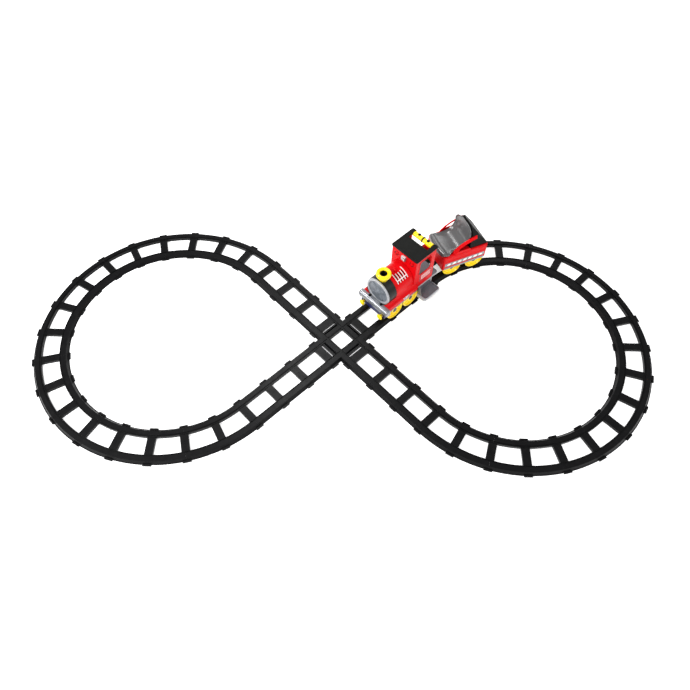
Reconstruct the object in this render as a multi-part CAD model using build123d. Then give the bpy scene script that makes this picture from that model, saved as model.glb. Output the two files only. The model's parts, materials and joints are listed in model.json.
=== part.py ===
from build123d import *

# Ride-on battery train on a figure-of-eight track.
#
# Millimetres, +Z up. The origin is on the floor under the middle of the track's crossing, and the
# figure of eight's long axis is X. The locomotive stands on the straight arm that leaves the crossing
# at +45 degrees and faces the crossing. The tender, which carries the seat, is on the curve behind it.
#
# The locomotive and the tender are each drawn in a frame of their own: X runs back along the train,
# Y to the train's right-hand side and Z up from the floor. Each frame is then set on the track.

import os
from math import acos, asin, atan2, cos, degrees, hypot, pi, radians, sin, sqrt, tan

# ---- driving dimensions: layout ----
CURVE_RADIUS = 1000.0          # centre line of a curve
BAY_ANGLE = 15.0               # a curve piece is two bays long
BAYS_PER_PIECE = 2
PIECES_PER_LOOP = 9
STRAIGHT_BAY = 264.0
ARM_ANGLE = 45.0               # the arms leave the crossing at plus and minus this angle
SEAM_GAP = 0.25                # each piece stops this short of the seam

# ---- driving dimensions: track section ----
RAIL_INNER = 71.5              # half the gap between the rails
RAIL_OUTER = 143.0             # half the width over the rails' feet
RAIL_TOP_OUTER = 124.0         # where the top face ends and the sloping side starts
RAIL_HEIGHT = 30.0
LIP = 3.0                      # inner lip beside the flange groove
GROOVE_WIDTH = 12.0
GROOVE_DEPTH = 6.0
TRACK_WALL = 3.0
FOOT_THICKNESS = 4.0
TIE_WIDTH = 65.0
TIE_TOP = 26.0
STUB_OUTER = 153.0
STUB_HEIGHT = 12.0
SLOT_START, SLOT_END = 154.0, 171.5   # see-through slot beside the crossing

# ---- driving dimensions: wheels ----
WHEEL_RADIUS = 88.0
FLANGE_RADIUS = 91.0
FLANGE_IN, FLANGE_OUT = 79.0, 82.0
WHEEL_FACE = 142.5
RAIL_CLEARANCE = 0.3
AXLE_Z = RAIL_HEIGHT + RAIL_CLEARANCE + WHEEL_RADIUS
AXLE_RADIUS = 5.0
AXLE_CLEARANCE = 0.06
HUB_FACE = WHEEL_FACE - 5.0
HUB_CAP_RADIUS = 21.0
LOCO_AXLES = (485.0, 675.0)
TENDER_CENTRE = 1345.0         # path distance from the crossing to the tender's middle
TENDER_AXLES = (-112.0, 112.0)

# ---- driving dimensions: locomotive ----
SPINE_HALF = 64.0
SPINE_BOTTOM = 75.0
DECK_Z = 214.0
DECK_THICKNESS = 4.0
NOSE_TOP = 156.0               # the spine is this low ahead of the boiler
BODY_FRONT, BODY_REAR = 397.0, 745.0
BOILER_RADIUS = 124.0
BOILER_Z = 313.0
SMOKEBOX_RADIUS = 127.0
SMOKEBOX_FRONT, SMOKEBOX_REAR = 418.0, 500.0
SKIRT_HALF = 148.0
SKIRT_BOTTOM = 165.0
WAIST_Z, FLARE_Z = 268.0, 222.0
SHELL = 3.0
CAB_FRONT, CAB_REAR = 698.0, 932.0
CAB_HALF = 135.0
CAB_WALL = 4.0
ROOF_FRONT, ROOF_REAR = 688.0, 946.0
ROOF_HALF = 143.0
ROOF_BOTTOM, ROOF_TOP = 553.0, 565.0
FUNNEL_X = 460.0
FOOTPLATE_Z = 187.5
HITCH_X = 945.0
HITCH_PLATE = (100.0, 106.0)

# ---- driving dimensions: tender ----
TENDER_FRONT, TENDER_REAR = -215.0, 215.0
TENDER_HALF = 150.0
TENDER_WALL = 3.5
TENDER_BOTTOM, TENDER_TOP = 128.0, 292.0
TENDER_SPINE_BOTTOM = 91.0
TOW_BAR_Z = (84.0, 90.0)
SEAT_TOP = 500.0
SEAT_HALF = 122.0
SEAT_BACK_X = 34.0             # the back of the seat's back, at its foot
SEAT_LEAN = 4.0                # degrees
SEAT_SHEET = 6.0
SEAT_BEND = 78.0
COVER_HALF = 136.0
CONTACT_GAP = 0.2              # between pieces of one body that rest on each other


# ---- helpers ----
def block(x0, x1, y0, y1, z0, z1):
    """A box given by its limits."""
    centre = ((x0 + x1) / 2, (y0 + y1) / 2, (z0 + z1) / 2)
    return Pos(*centre) * Box(x1 - x0, y1 - y0, z1 - z0)


def rod_y(radius, y0, y1, x=0.0, z=0.0):
    """A round bar along Y."""
    return Pos(x, (y0 + y1) / 2, z) * Rot(90, 0, 0) * Cylinder(radius, y1 - y0)


def rod_x(radius, x0, x1, y=0.0, z=0.0):
    """A round bar along X."""
    return Pos((x0 + x1) / 2, y, z) * Rot(0, 90, 0) * Cylinder(radius, x1 - x0)


def rod_z(radius, z0, z1, x=0.0, y=0.0):
    """A round bar along Z."""
    return Pos(x, y, (z0 + z1) / 2) * Cylinder(radius, z1 - z0)


def prism_x(points, x0, x1):
    """A (y, z) polygon drawn out along X."""
    face = Plane.YZ * make_face(Polyline(*points, close=True))
    return Pos(x0, 0, 0) * extrude(face, amount=x1 - x0)


def prism_y(points, y0, y1):
    """An (x, z) polygon drawn out along Y."""
    face = Plane.XZ * make_face(Polyline(*points, close=True))
    return Pos(0, y1, 0) * extrude(face, amount=y1 - y0)


def turned(points, axis=Axis.Z, arc=360.0):
    """A (radius, height) polygon turned about Z."""
    face = Plane.XZ * make_face(Polyline(*points, close=True))
    return revolve(face, axis, arc)


def mirrored(shape):
    """The same piece on the train's other side."""
    return mirror(shape, about=Plane.XZ)


def both_sides(shape):
    return [shape, mirrored(shape)]


def vertical_edges(shape):
    return shape.edges().filter_by(Axis.Z)


def solids_of(items):
    """Every solid in a list of shapes."""
    return [solid for item in items for solid in item.solids()]


def save(node, *items):
    """Writes one node as its separate solids."""
    solids = solids_of(items)
    shape = solids[0] if len(solids) == 1 else Compound(children=solids)
    export_step(shape, f"parts/{node}.step")


# ---- where the train stands ----
LOCO_FRAME = Rot(0, 0, ARM_ANGLE)
LOOP_CENTRE_X = CURVE_RADIUS * sqrt(2.0)
TENDER_TURN = degrees((TENDER_CENTRE - CURVE_RADIUS) / CURVE_RADIUS)
TENDER_POLAR = 90.0 + ARM_ANGLE - TENDER_TURN
TENDER_RADIUS = sqrt(CURVE_RADIUS ** 2 - TENDER_AXLES[1] ** 2)   # puts both axles over the centre line
TENDER_FRAME = (
    Pos(LOOP_CENTRE_X, 0, 0)
    * Rot(0, 0, TENDER_POLAR)
    * Pos(TENDER_RADIUS, 0, 0)
    * Rot(0, 0, -90)
)


def save_loco(node, *items):
    save(node, *[LOCO_FRAME * item for item in items])


def save_tender(node, *items):
    save(node, *[TENDER_FRAME * item for item in items])


# ---- track ----
def rail_points(offset=0.0, side=1):
    """The thin-walled rail, open below, as (distance from the centre line, height)."""
    groove_in = RAIL_INNER + LIP
    groove_out = groove_in + GROOVE_WIDTH
    groove_z = RAIL_HEIGHT - GROOVE_DEPTH
    foot_in = RAIL_OUTER - FOOT_THICKNESS
    section = [
        (RAIL_INNER, 0),
        (RAIL_INNER, RAIL_HEIGHT),
        (groove_in, RAIL_HEIGHT),
        (groove_in, groove_z),
        (groove_out, groove_z),
        (groove_out, RAIL_HEIGHT),
        (RAIL_TOP_OUTER, RAIL_HEIGHT),
        (foot_in, FOOT_THICKNESS),
        (RAIL_OUTER, FOOT_THICKNESS),
        (RAIL_OUTER, 0),
        (foot_in - TRACK_WALL, 0),
        (RAIL_TOP_OUTER - TRACK_WALL, RAIL_HEIGHT - TRACK_WALL),
        (groove_out + TRACK_WALL, RAIL_HEIGHT - TRACK_WALL),
        (groove_out + TRACK_WALL, groove_z - TRACK_WALL),
        (groove_in, groove_z - TRACK_WALL),
        (groove_in, 0),
    ]
    return [(offset + side * across, height) for across, height in section]


def tie(y0, y1):
    """A tie between the rails, open below. X is across the track and Y along it."""
    reach = RAIL_INNER + 1.2
    hollow = RAIL_INNER - 0.1
    outside = block(-reach, reach, y0, y1, 0, TIE_TOP)
    inside = block(-hollow, hollow, y0 + TRACK_WALL, y1 - TRACK_WALL, -1, TIE_TOP - TRACK_WALL)
    return outside - inside


def stubs(y0, y1):
    """The tie's ends, which stand out beyond the rails."""
    end = block(RAIL_OUTER - 6.0, STUB_OUTER, y0, y1, 0, STUB_HEIGHT)
    return [end, mirror(end, about=Plane.YZ)]


def tab():
    """The snap tab at a piece's male end. The seam is at y = 0 and the piece is on the side of -Y."""
    tongue = block(-11, 11, -24, 16, 19.6, 22.6)
    root = block(-11, 11, -24, -SEAM_GAP, 19.6, TIE_TOP - TRACK_WALL + 0.4)
    latch = block(-6, 6, 6, 14, 22.2, TIE_TOP)
    return tongue + root + latch


def tab_pocket():
    """What a female end loses: a notch in its end wall and a window. The piece is on the side of +Y."""
    notch = block(-12, 12, -1, TRACK_WALL + 1, 19.0, 23.4)
    window = block(-6.6, 6.6, 5.4, 14.6, 20, TIE_TOP + 1)
    return notch + window


def assemble(rails, tie_frames, male_frame, female_frame):
    """Joins rails and ties. tie_frames lists (location, y0, y1)."""
    body = rails[0] + rails[1:]
    for location, y0, y1 in tie_frames:
        body = body + [location * piece for piece in [tie(y0, y1)] + stubs(y0, y1)]
    body = body + male_frame * tab()
    return body - female_frame * tab_pocket()


def straight_piece():
    """Two bays along +Y from the female end, which is at the origin."""
    length = BAYS_PER_PIECE * STRAIGHT_BAY
    rails = []
    for side in (1, -1):
        face = Plane.XZ * make_face(Polyline(*rail_points(side=side), close=True))
        rails.append(Pos(0, length - SEAM_GAP, 0) * extrude(face, amount=length - 2 * SEAM_GAP))
    half = TIE_WIDTH / 2
    ties = [
        (Pos(0, 0, 0), SEAM_GAP, half),
        (Pos(0, STRAIGHT_BAY, 0), -half, half),
        (Pos(0, length, 0), -half, -SEAM_GAP),
    ]
    return assemble(rails, ties, Pos(0, length, 0), Pos(0, 0, 0))


def curve_piece():
    """Two bays clockwise about the origin. The female end crosses the +X axis."""
    sweep = BAYS_PER_PIECE * BAY_ANGLE
    gap_angle = degrees(SEAM_GAP / CURVE_RADIUS)
    rails = []
    for side in (1, -1):
        ring = turned(rail_points(CURVE_RADIUS, side), arc=sweep - 2 * gap_angle)
        rails.append(Rot(0, 0, gap_angle - sweep) * ring)
    half = TIE_WIDTH / 2

    def at(angle):
        return Rot(0, 0, -angle) * Pos(CURVE_RADIUS, 0, 0) * Rot(0, 0, 180)

    ties = [
        (at(0), SEAM_GAP, half),
        (at(BAY_ANGLE), -half, half),
        (at(sweep), -half, -SEAM_GAP),
    ]
    return assemble(rails, ties, at(sweep), at(0))


def crossing_piece():
    """Two straight tracks that cross square, with four arms one bay long."""
    first_tie = CURVE_RADIUS - 3 * STRAIGHT_BAY
    reach = first_tie + STRAIGHT_BAY
    groove_in = RAIL_INNER + LIP
    groove_out = groove_in + GROOVE_WIDTH
    floor_z = RAIL_HEIGHT - GROOVE_DEPTH - 5.0
    foot_in = RAIL_OUTER - FOOT_THICKNESS
    outer = [
        (RAIL_INNER, 0),
        (RAIL_INNER, RAIL_HEIGHT),
        (RAIL_TOP_OUTER, RAIL_HEIGHT),
        (foot_in, FOOT_THICKNESS),
        (RAIL_OUTER, FOOT_THICKNESS),
        (RAIL_OUTER, 0),
    ]
    slope_at_floor = RAIL_TOP_OUTER + 2.0
    hollow = [
        (groove_in, -1),
        (groove_in, floor_z),
        (slope_at_floor, floor_z),
        (foot_in - TRACK_WALL, 0),
        (foot_in - TRACK_WALL, -1),
    ]
    groove = [
        (groove_in, RAIL_HEIGHT - GROOVE_DEPTH),
        (groove_in, RAIL_HEIGHT + 1),
        (groove_out, RAIL_HEIGHT + 1),
        (groove_out, RAIL_HEIGHT - GROOVE_DEPTH),
    ]
    half = TIE_WIDTH / 2
    end = reach - SEAM_GAP
    added = []
    removed = []
    for turn in (0, 90):
        for flip in (0, 180):
            spin = Rot(0, 0, turn + flip)
            added.append(spin * prism_x(outer, -end, end))
            removed.append(spin * prism_x(hollow, -reach, reach))
            removed.append(spin * prism_x(groove, -reach - 1, reach + 1))
    for arm in range(4):
        spin = Rot(0, 0, 90 * arm)
        for y0, y1 in ((SLOT_END, first_tie + half), (reach - half, end)):
            added.extend(spin * piece for piece in [tie(y0, y1)] + stubs(y0 + 4, y1))
        web_reach = RAIL_INNER + 1.2
        added.append(spin * block(-web_reach, web_reach, foot_in, SLOT_START, 0, TIE_TOP))
        if arm % 2 == 0:
            added.append(spin * Pos(0, reach, 0) * tab())
        else:
            removed.append(spin * Pos(0, reach, 0) * Rot(0, 0, 180) * tab_pocket())
    body = added[0] + added[1:]
    return body - removed


def save_track():
    save("track_crossing", Rot(0, 0, ARM_ANGLE - 90) * crossing_piece())
    straight = straight_piece()
    arm_start = CURVE_RADIUS - BAYS_PER_PIECE * STRAIGHT_BAY
    out = Rot(0, 0, ARM_ANGLE - 90) * Pos(0, arm_start, 0) * straight
    back = Rot(0, 0, -ARM_ANGLE - 90) * Pos(0, CURVE_RADIUS, 0) * Rot(0, 0, 180) * straight
    half_turn = Rot(0, 0, 180)
    save("straight_track_right_far", out)
    save("straight_track_right_near", back)
    save("straight_track_left_near", half_turn * out)
    save("straight_track_left_far", half_turn * back)
    curve = curve_piece()
    sweep = BAYS_PER_PIECE * BAY_ANGLE
    per_node = 3
    for group in range(PIECES_PER_LOOP // per_node):
        pieces = []
        for step in range(per_node):
            start = 90 + ARM_ANGLE - sweep * (group * per_node + step)
            pieces.append(Pos(LOOP_CENTRE_X, 0, 0) * Rot(0, 0, start) * curve)
        save(f"curved_track_right_{group + 1}", *pieces)
        save(f"curved_track_left_{group + 1}", *[half_turn * piece for piece in pieces])


# ---- wheels and axles, shared by the locomotive and the tender ----
def wheel(side):
    """A hollow plastic wheel with a flange on its inner edge and a dished outer face."""
    bore = AXLE_RADIUS
    inner_web = WHEEL_FACE - 26.0
    points = [
        (bore, FLANGE_IN),
        (16, FLANGE_IN),
        (18, inner_web - 8),
        (76, inner_web - 8),
        (83, FLANGE_IN),
        (FLANGE_RADIUS, FLANGE_IN),
        (FLANGE_RADIUS, FLANGE_OUT),
        (WHEEL_RADIUS, FLANGE_OUT + 2),
        (WHEEL_RADIUS, WHEEL_FACE - 4),
        (WHEEL_RADIUS - 4, WHEEL_FACE),
        (WHEEL_RADIUS - 10, WHEEL_FACE),
        (WHEEL_RADIUS - 16, inner_web + 14),
        (30, inner_web + 14),
        (26, HUB_FACE),
        (bore, HUB_FACE),
    ]
    disc = turned(points)
    return Rot(90 if side < 0 else -90, 0, 0) * disc


def wheelset_parts(x):
    """The pair of wheels, the axle and the hub caps of one axle."""
    place = Pos(x, 0, AXLE_Z)
    end = HUB_FACE
    wheels = [place * wheel(side) for side in (-1, 1)]
    axle = place * rod_y(AXLE_RADIUS, -end, end)
    cap = turned([
        (0, end), (HUB_CAP_RADIUS, end), (HUB_CAP_RADIUS, end + 2),
        (HUB_CAP_RADIUS - 5, end + 5), (0, end + 6.5),
    ])
    caps = [place * Rot(turn, 0, 0) * cap for turn in (90, -90)]
    return wheels, axle, caps


def save_wheelset(save_in, prefix, x):
    wheels, axle, caps = wheelset_parts(x)
    save_in(f"{prefix}_wheels", *wheels)
    save_in(f"{prefix}_axle", axle)
    save_in(f"{prefix}_hub_caps", *caps)


# ---- gear train ----
FINE_MODULE = 1.5
COARSE_MODULE = 2.0
PINION_TEETH, LARGE_TEETH = 12, 48
SMALL_TEETH, AXLE_TEETH = 14, 42
BACKLASH = 0.35
SHAFT_RADIUS = 3.0
COARSE_DISTANCE = COARSE_MODULE * (SMALL_TEETH + AXLE_TEETH) / 2
FINE_DISTANCE = FINE_MODULE * (PINION_TEETH + LARGE_TEETH) / 2
COARSE_RISE = 40.0
AXLE_GEAR_X = LOCO_AXLES[1]
IDLER_X = AXLE_GEAR_X - COARSE_DISTANCE * cos(radians(COARSE_RISE))
IDLER_Z = AXLE_Z + COARSE_DISTANCE * sin(radians(COARSE_RISE))
MOTOR_X = IDLER_X - FINE_DISTANCE
MOTOR_Z = IDLER_Z
FINE_Y = (10.0, 20.0)
COARSE_Y = (24.0, 34.0)
PLATES_Y = ((3.0, 6.0), (44.0, 47.0))


def gear(teeth, module, width, first_tooth):
    """A spur gear about Y with involute flanks. first_tooth is the angle of a tooth from +X towards +Z."""
    pitch = module * teeth / 2
    base = pitch * cos(radians(20))
    root = pitch - 1.25 * module
    tip = pitch + 0.9 * module

    def involute(radius):
        pressure = acos(min(1.0, base / radius))
        return tan(pressure) - pressure

    at_pitch = pi / (2 * teeth) - BACKLASH / (2 * pitch)
    flank = []
    for radius in (root, max(base, root + 0.2 * module), pitch, tip):
        flank.append((radius, at_pitch + involute(pitch) - involute(max(radius, base))))
    outline = []
    for tooth in range(teeth):
        middle = radians(first_tooth) + 2 * pi * tooth / teeth
        for radius, half in flank:
            outline.append((radius * cos(middle - half), radius * sin(middle - half)))
        for radius, half in reversed(flank):
            outline.append((radius * cos(middle + half), radius * sin(middle + half)))
    face = Plane.XZ * make_face(Polyline(*outline, close=True))
    return extrude(face, amount=-width)


def placed_gear(teeth, module, span, x, z, first_tooth):
    y0, y1 = span
    return Pos(x, y0, z) * gear(teeth, module, y1 - y0, first_tooth)


def save_gear_train():
    to_axle = -COARSE_RISE
    to_idler = 180 - COARSE_RISE
    axle_gear = placed_gear(
        AXLE_TEETH, COARSE_MODULE, COARSE_Y, AXLE_GEAR_X, AXLE_Z, to_idler + 180 / AXLE_TEETH
    )
    boss = rod_y(12, COARSE_Y[0] - 2, COARSE_Y[1] + 6, AXLE_GEAR_X, AXLE_Z)
    bore = rod_y(AXLE_RADIUS, 0, 60, AXLE_GEAR_X, AXLE_Z)
    save_loco("axle_gear", axle_gear + boss - bore)

    large = placed_gear(LARGE_TEETH, FINE_MODULE, FINE_Y, IDLER_X, IDLER_Z, 180 + 180 / LARGE_TEETH)
    small = placed_gear(SMALL_TEETH, COARSE_MODULE, (FINE_Y[1], COARSE_Y[1]), IDLER_X, IDLER_Z, to_axle)
    shaft = rod_y(SHAFT_RADIUS, PLATES_Y[0][0] - 3, PLATES_Y[1][1] + 3, IDLER_X, IDLER_Z)
    save_loco("reduction_gear", large + small + shaft)

    pinion = placed_gear(PINION_TEETH, FINE_MODULE, FINE_Y, MOTOR_X, MOTOR_Z, 0)
    motor_shaft = rod_y(1.6, -8, 24, MOTOR_X, MOTOR_Z)
    save_loco("motor_pinion", pinion + motor_shaft)

    can = rod_y(18, -58, -3.2, MOTOR_X, MOTOR_Z)
    nose = rod_y(6, -3.2, 2.4, MOTOR_X, MOTOR_Z)
    shaft_hole = rod_y(1.66, -9, 3, MOTOR_X, MOTOR_Z)
    save_loco("motor", can + nose - shaft_hole)

    top = DECK_Z - SHELL
    frame = block(MOTOR_X - 24, AXLE_GEAR_X - 14, PLATES_Y[0][0], PLATES_Y[1][1], top - 4, top - 0.5)
    for y0, y1 in PLATES_Y:
        plate = block(MOTOR_X - 24, AXLE_GEAR_X - 14, y0, y1, AXLE_Z + 6, top - 1)
        plate = plate - rod_y(SHAFT_RADIUS + AXLE_CLEARANCE, y0 - 1, y1 + 1, IDLER_X, IDLER_Z)
        plate = plate - rod_y(7, y0 - 1, y1 + 1, MOTOR_X, MOTOR_Z)
        frame = frame + plate
    save_loco("gearbox_frame", frame - rod_y(16, 0, 60, AXLE_GEAR_X, AXLE_Z))


# ---- locomotive ----
def body_face(wall):
    """The boiler's round top over flared skirts, as a face across the train."""
    radius = BOILER_RADIUS - wall
    half = SKIRT_HALF - wall
    spread = half - radius
    drop = WAIST_Z - FLARE_Z
    flare = (spread * spread + drop * drop) / (2 * spread)
    middle = asin(drop / flare) / 2
    bend_y = radius + flare * (1 - cos(middle))
    bend_z = WAIST_Z - flare * sin(middle)
    bottom = SKIRT_BOTTOM - (1 if wall else 0)
    crown = ThreePointArc((-radius, BOILER_Z), (0, BOILER_Z + radius), (radius, BOILER_Z))
    right = Line((radius, BOILER_Z), (radius, WAIST_Z))
    right_flare = ThreePointArc((radius, WAIST_Z), (bend_y, bend_z), (half, FLARE_Z))
    base = Polyline((half, FLARE_Z), (half, bottom), (-half, bottom), (-half, FLARE_Z))
    left_flare = ThreePointArc((-half, FLARE_Z), (-bend_y, bend_z), (-radius, WAIST_Z))
    left = Line((-radius, WAIST_Z), (-radius, BOILER_Z))
    return Plane.YZ * make_face([crown, right, right_flare, base, left_flare, left])


def body_solid(wall, x0, x1):
    return Pos(x0, 0, 0) * extrude(body_face(wall), amount=x1 - x0)


GRILLE_RIBS = ((540.0, 9.0), (567.0, 14.0), (594.0, 15.0), (621.0, 14.0), (648.0, 4.0))   # x and first angle
GRILLE_END = 53.0              # degrees from the crown towards the train's left
GRILLE_TIE = (40.0, 43.5)
GRILLE_RIB_HALF = 3.5
GRILLE_SLOT_MARGIN = 8.5       # from a rib's middle to the slot beside it
SOUND_BUTTON_X = 594.0
SOUND_BUTTON_RADIUS = 18.0
SOUND_BUTTON_CLEARANCE = 0.4


def boiler_sector(radius_in, radius_out, x0, x1, from_deg, to_deg):
    """A piece of a tube round the boiler's axis, from and to angles from the crown towards the left."""
    length = x1 - x0
    section = [(radius_in, 0), (radius_out, 0), (radius_out, length), (radius_in, length)]
    ring = turned(section, arc=to_deg - from_deg)
    return Pos(x0, 0, BOILER_Z) * Rot(from_deg, 0, 0) * Rot(0, 90, 0) * Rot(0, 0, 180) * ring


def boiler_normal(x, tilt_left):
    """A frame on the boiler's axis whose +Z points out at the given angle from the crown."""
    return Pos(x, 0, BOILER_Z) * Rot(tilt_left, 0, 0)


SCREW_RADIUS = 2.0
BODY_SCREW_X, BODY_SCREW_Y = (512, 728), 132
SEAT_SCREW_X, SEAT_SCREW_Y = (-150, -60), 70


def screw_places(along, across):
    """Four places, on both sides of the centre line."""
    return [(x, side * across) for x in along for side in (-1, 1)]


def screw(x, y, head_z, length):
    """A pan-head screw driven upwards. head_z is the seat of its head."""
    head = rod_z(4.0, head_z - 3, head_z, x=x, y=y)
    return head + rod_z(SCREW_RADIUS, head_z, head_z + length, x=x, y=y)


def save_boiler_shell():
    shell = body_solid(0, BODY_FRONT, BODY_REAR) - body_solid(SHELL, BODY_FRONT + SHELL, BODY_REAR + 1)
    boss_z = DECK_Z + DECK_THICKNESS
    within = body_solid(1, BODY_FRONT, BODY_REAR)
    for x in BODY_SCREW_X:
        boss = block(x - 6, x + 6, BODY_SCREW_Y - 6, SKIRT_HALF, boss_z, boss_z + 16) & within
        pilot = rod_z(SCREW_RADIUS + 0.1, DECK_Z, boss_z + 12, x=x, y=BODY_SCREW_Y)
        shell = shell + both_sides(boss - pilot)
    nose_gap = block(BODY_FRONT - 1, BODY_FRONT + 8, -SPINE_HALF - 1, SPINE_HALF + 1, 100, DECK_Z)
    shell = shell - nose_gap
    seat = rod_x(SMOKEBOX_RADIUS + 0.3, BODY_FRONT - 5, SMOKEBOX_REAR, z=BOILER_Z)
    above = BOILER_Z + BOILER_RADIUS + 10
    front_top = block(BODY_FRONT - 5, SMOKEBOX_REAR, -160, 160, WAIST_Z, above)
    cab_space = block(CAB_FRONT, BODY_REAR + 2, -160, 160, WAIST_Z, above)
    shell = shell - [seat, front_top, cab_space]
    shelf_half = BOILER_RADIUS - 1
    shelf = block(CAB_FRONT, BODY_REAR, -shelf_half, shelf_half, WAIST_Z - SHELL, WAIST_Z)
    rear_wall = block(BODY_REAR - SHELL, BODY_REAR, -shelf_half, shelf_half, FOOTPLATE_Z + 1, WAIST_Z)
    boiler_back = rod_x(BOILER_RADIUS - 1, CAB_FRONT - SHELL, CAB_FRONT, z=BOILER_Z)
    boiler_back = boiler_back - block(CAB_FRONT - 5, CAB_FRONT + 1, -160, 160, 0, WAIST_Z - SHELL)
    shell = shell + [shelf, rear_wall, boiler_back]
    slots = []
    for (x0, first), (x1, second) in zip(GRILLE_RIBS, GRILLE_RIBS[1:]):
        for span in ((max(first, second) + 2, GRILLE_TIE[0] - 2), (GRILLE_TIE[1] + 1.5, GRILLE_END - 2)):
            along = (x0 + GRILLE_SLOT_MARGIN, x1 - GRILLE_SLOT_MARGIN)
            slots.append(boiler_sector(BOILER_RADIUS - 8, BOILER_RADIUS + 3, *along, *span))
    hole_radius = SOUND_BUTTON_RADIUS + SOUND_BUTTON_CLEARANCE
    hole = rod_z(hole_radius, BOILER_Z + 100, BOILER_Z + 140, x=SOUND_BUTTON_X)
    funnel_hole = rod_z(20, BOILER_Z, BOILER_Z + 200, x=FUNNEL_X)
    save_loco("boiler_shell", shell - slots - [hole, funnel_hole])


def save_speaker():
    """Five ribs down the boiler's left shoulder, tied by one rib across them, and the speaker behind."""
    inner, outer = BOILER_RADIUS + 0.2, BOILER_RADIUS + 4
    first_x, last_x = GRILLE_RIBS[0][0], GRILLE_RIBS[-1][0]
    grille = boiler_sector(inner, outer, first_x, last_x, *GRILLE_TIE)
    for x, start in GRILLE_RIBS:
        along = (x - GRILLE_RIB_HALF, x + GRILLE_RIB_HALF)
        grille = grille + boiler_sector(inner, outer, *along, start, GRILLE_END)
    save_loco("speaker_grille", grille)
    place = boiler_normal((first_x + last_x) / 2, 30.0)
    cone = Pos(0, 0, 92) * turned([(0, 0), (20, 0), (20, 8), (36, 18), (36, 21), (30, 21), (12, 12), (0, 12)])
    save_loco("speaker", place * cone)


def save_sound_button():
    radius = SOUND_BUTTON_RADIUS
    crown = BOILER_Z + BOILER_RADIUS
    profile = [
        (0, crown - 8), (radius, crown - 8), (radius, crown + 5), (radius - 3, crown + 9), (0, crown + 11),
    ]
    save_loco("sound_button", Pos(SOUND_BUTTON_X, 0, 0) * turned(profile))


def save_smokebox():
    outer = rod_x(SMOKEBOX_RADIUS, SMOKEBOX_FRONT, SMOKEBOX_REAR - 0.5, z=BOILER_Z)
    inner = rod_x(SMOKEBOX_RADIUS - 5, SMOKEBOX_FRONT - 1, SMOKEBOX_REAR - 4, z=BOILER_Z)
    hole = rod_z(20, BOILER_Z, BOILER_Z + 200, x=FUNNEL_X)
    save_loco("smokebox_ring", outer - inner - hole)
    depth = SMOKEBOX_FRONT - 400.0
    face = turned([
        (0, -6), (118, -6), (118, 0), (125, 0), (125, depth - 5), (120, depth), (110, depth),
        (104, depth - 6), (60, depth - 2), (56, depth + 2), (26, depth + 4), (22, depth + 9), (0, depth + 10),
    ])
    door = Pos(SMOKEBOX_FRONT, 0, BOILER_Z) * Rot(0, -90, 0) * face
    hinge_bars = []
    for height in (34, -34):
        bar = block(398, 406, 10, 112, BOILER_Z + height - 7, BOILER_Z + height + 7)
        hinge_bars.append(bar)
    save_loco("smokebox_door", door + hinge_bars)


def save_funnel():
    base = BOILER_Z + 118
    profile = [
        (27, base), (38, base), (38, 442), (44, 454), (61, 486), (63, 496), (63, 510),
        (58, 518), (36, 518), (28, 510), (27, 440),
    ]
    cup = Pos(FUNNEL_X, 0, 0) * turned(profile)
    save_loco("funnel", cup - rod_x(SMOKEBOX_RADIUS + 0.1, 380, 540, z=BOILER_Z))


def save_front_end():
    beam = block(347, BODY_FRONT - 1, -166, 166, NOSE_TOP, 220)
    beam = fillet(beam.edges().filter_by(Axis.Y).sort_by(Axis.X)[:2], 24)
    beam = fillet(beam.edges().filter_by(Axis.Z).sort_by(Axis.X)[:2], 10)
    save_loco("bumper_beam", beam)
    head = turned([(0, -30), (13, -30), (13, -14), (27, -10), (27, -3), (21, 3), (11, 6), (0, 7)])
    place = Rot(0, -90, 0)
    buffers = [Pos(328, side * 104, 130) * place * head for side in (-1, 1)]
    save_loco("buffers", *buffers)
    save_loco("front_coupling_plate", block(358, 389, -136, 136, 108, NOSE_TOP))


def save_chassis():
    """A spine between the wheels, low at the nose, with the deck that carries the body above it."""
    rear_top = FOOTPLATE_Z - 7.5
    nose = block(389, 506, -SPINE_HALF, SPINE_HALF, SPINE_BOTTOM, NOSE_TOP)
    middle = block(502, 741.5, -SPINE_HALF, SPINE_HALF, SPINE_BOTTOM, DECK_Z + 0.5)
    rear = block(737, 900, -SPINE_HALF, SPINE_HALF, SPINE_BOTTOM, rear_top)
    deck_half = SKIRT_HALF - SHELL
    deck = block(502, 738, -deck_half, deck_half, DECK_Z, DECK_Z + DECK_THICKNESS)
    hitch_plate = block(896, 965, -40, 40, *HITCH_PLATE)
    inside = SPINE_HALF - 4
    low = SPINE_BOTTOM - 1
    hollows = [
        block(393, 507, -inside, inside, low, NOSE_TOP - 4),
        block(506, 737.5, -inside, inside, low, DECK_Z - SHELL),
        block(737, 896, -inside, inside, low, rear_top - 4),
    ]
    slot = block(HITCH_X - 7.6, HITCH_X + 7.6, -24, 24, HITCH_PLATE[0] - 5, HITCH_PLATE[1] + 5)
    bores = [rod_y(AXLE_RADIUS + AXLE_CLEARANCE, -80, 80, x, AXLE_Z) for x in LOCO_AXLES]
    screw_holes = [
        rod_z(SCREW_RADIUS + 0.1, DECK_Z - 5, DECK_Z + 5, x=x, y=y)
        for x, y in screw_places(BODY_SCREW_X, BODY_SCREW_Y)
    ]
    wiring_hole = rod_z(12, DECK_Z - 10, DECK_Z + 10, x=590)
    chassis = nose + [middle, rear, deck, hitch_plate]
    save_loco("loco_chassis", chassis - hollows - [slot, wiring_hole] - bores - screw_holes)


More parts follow.
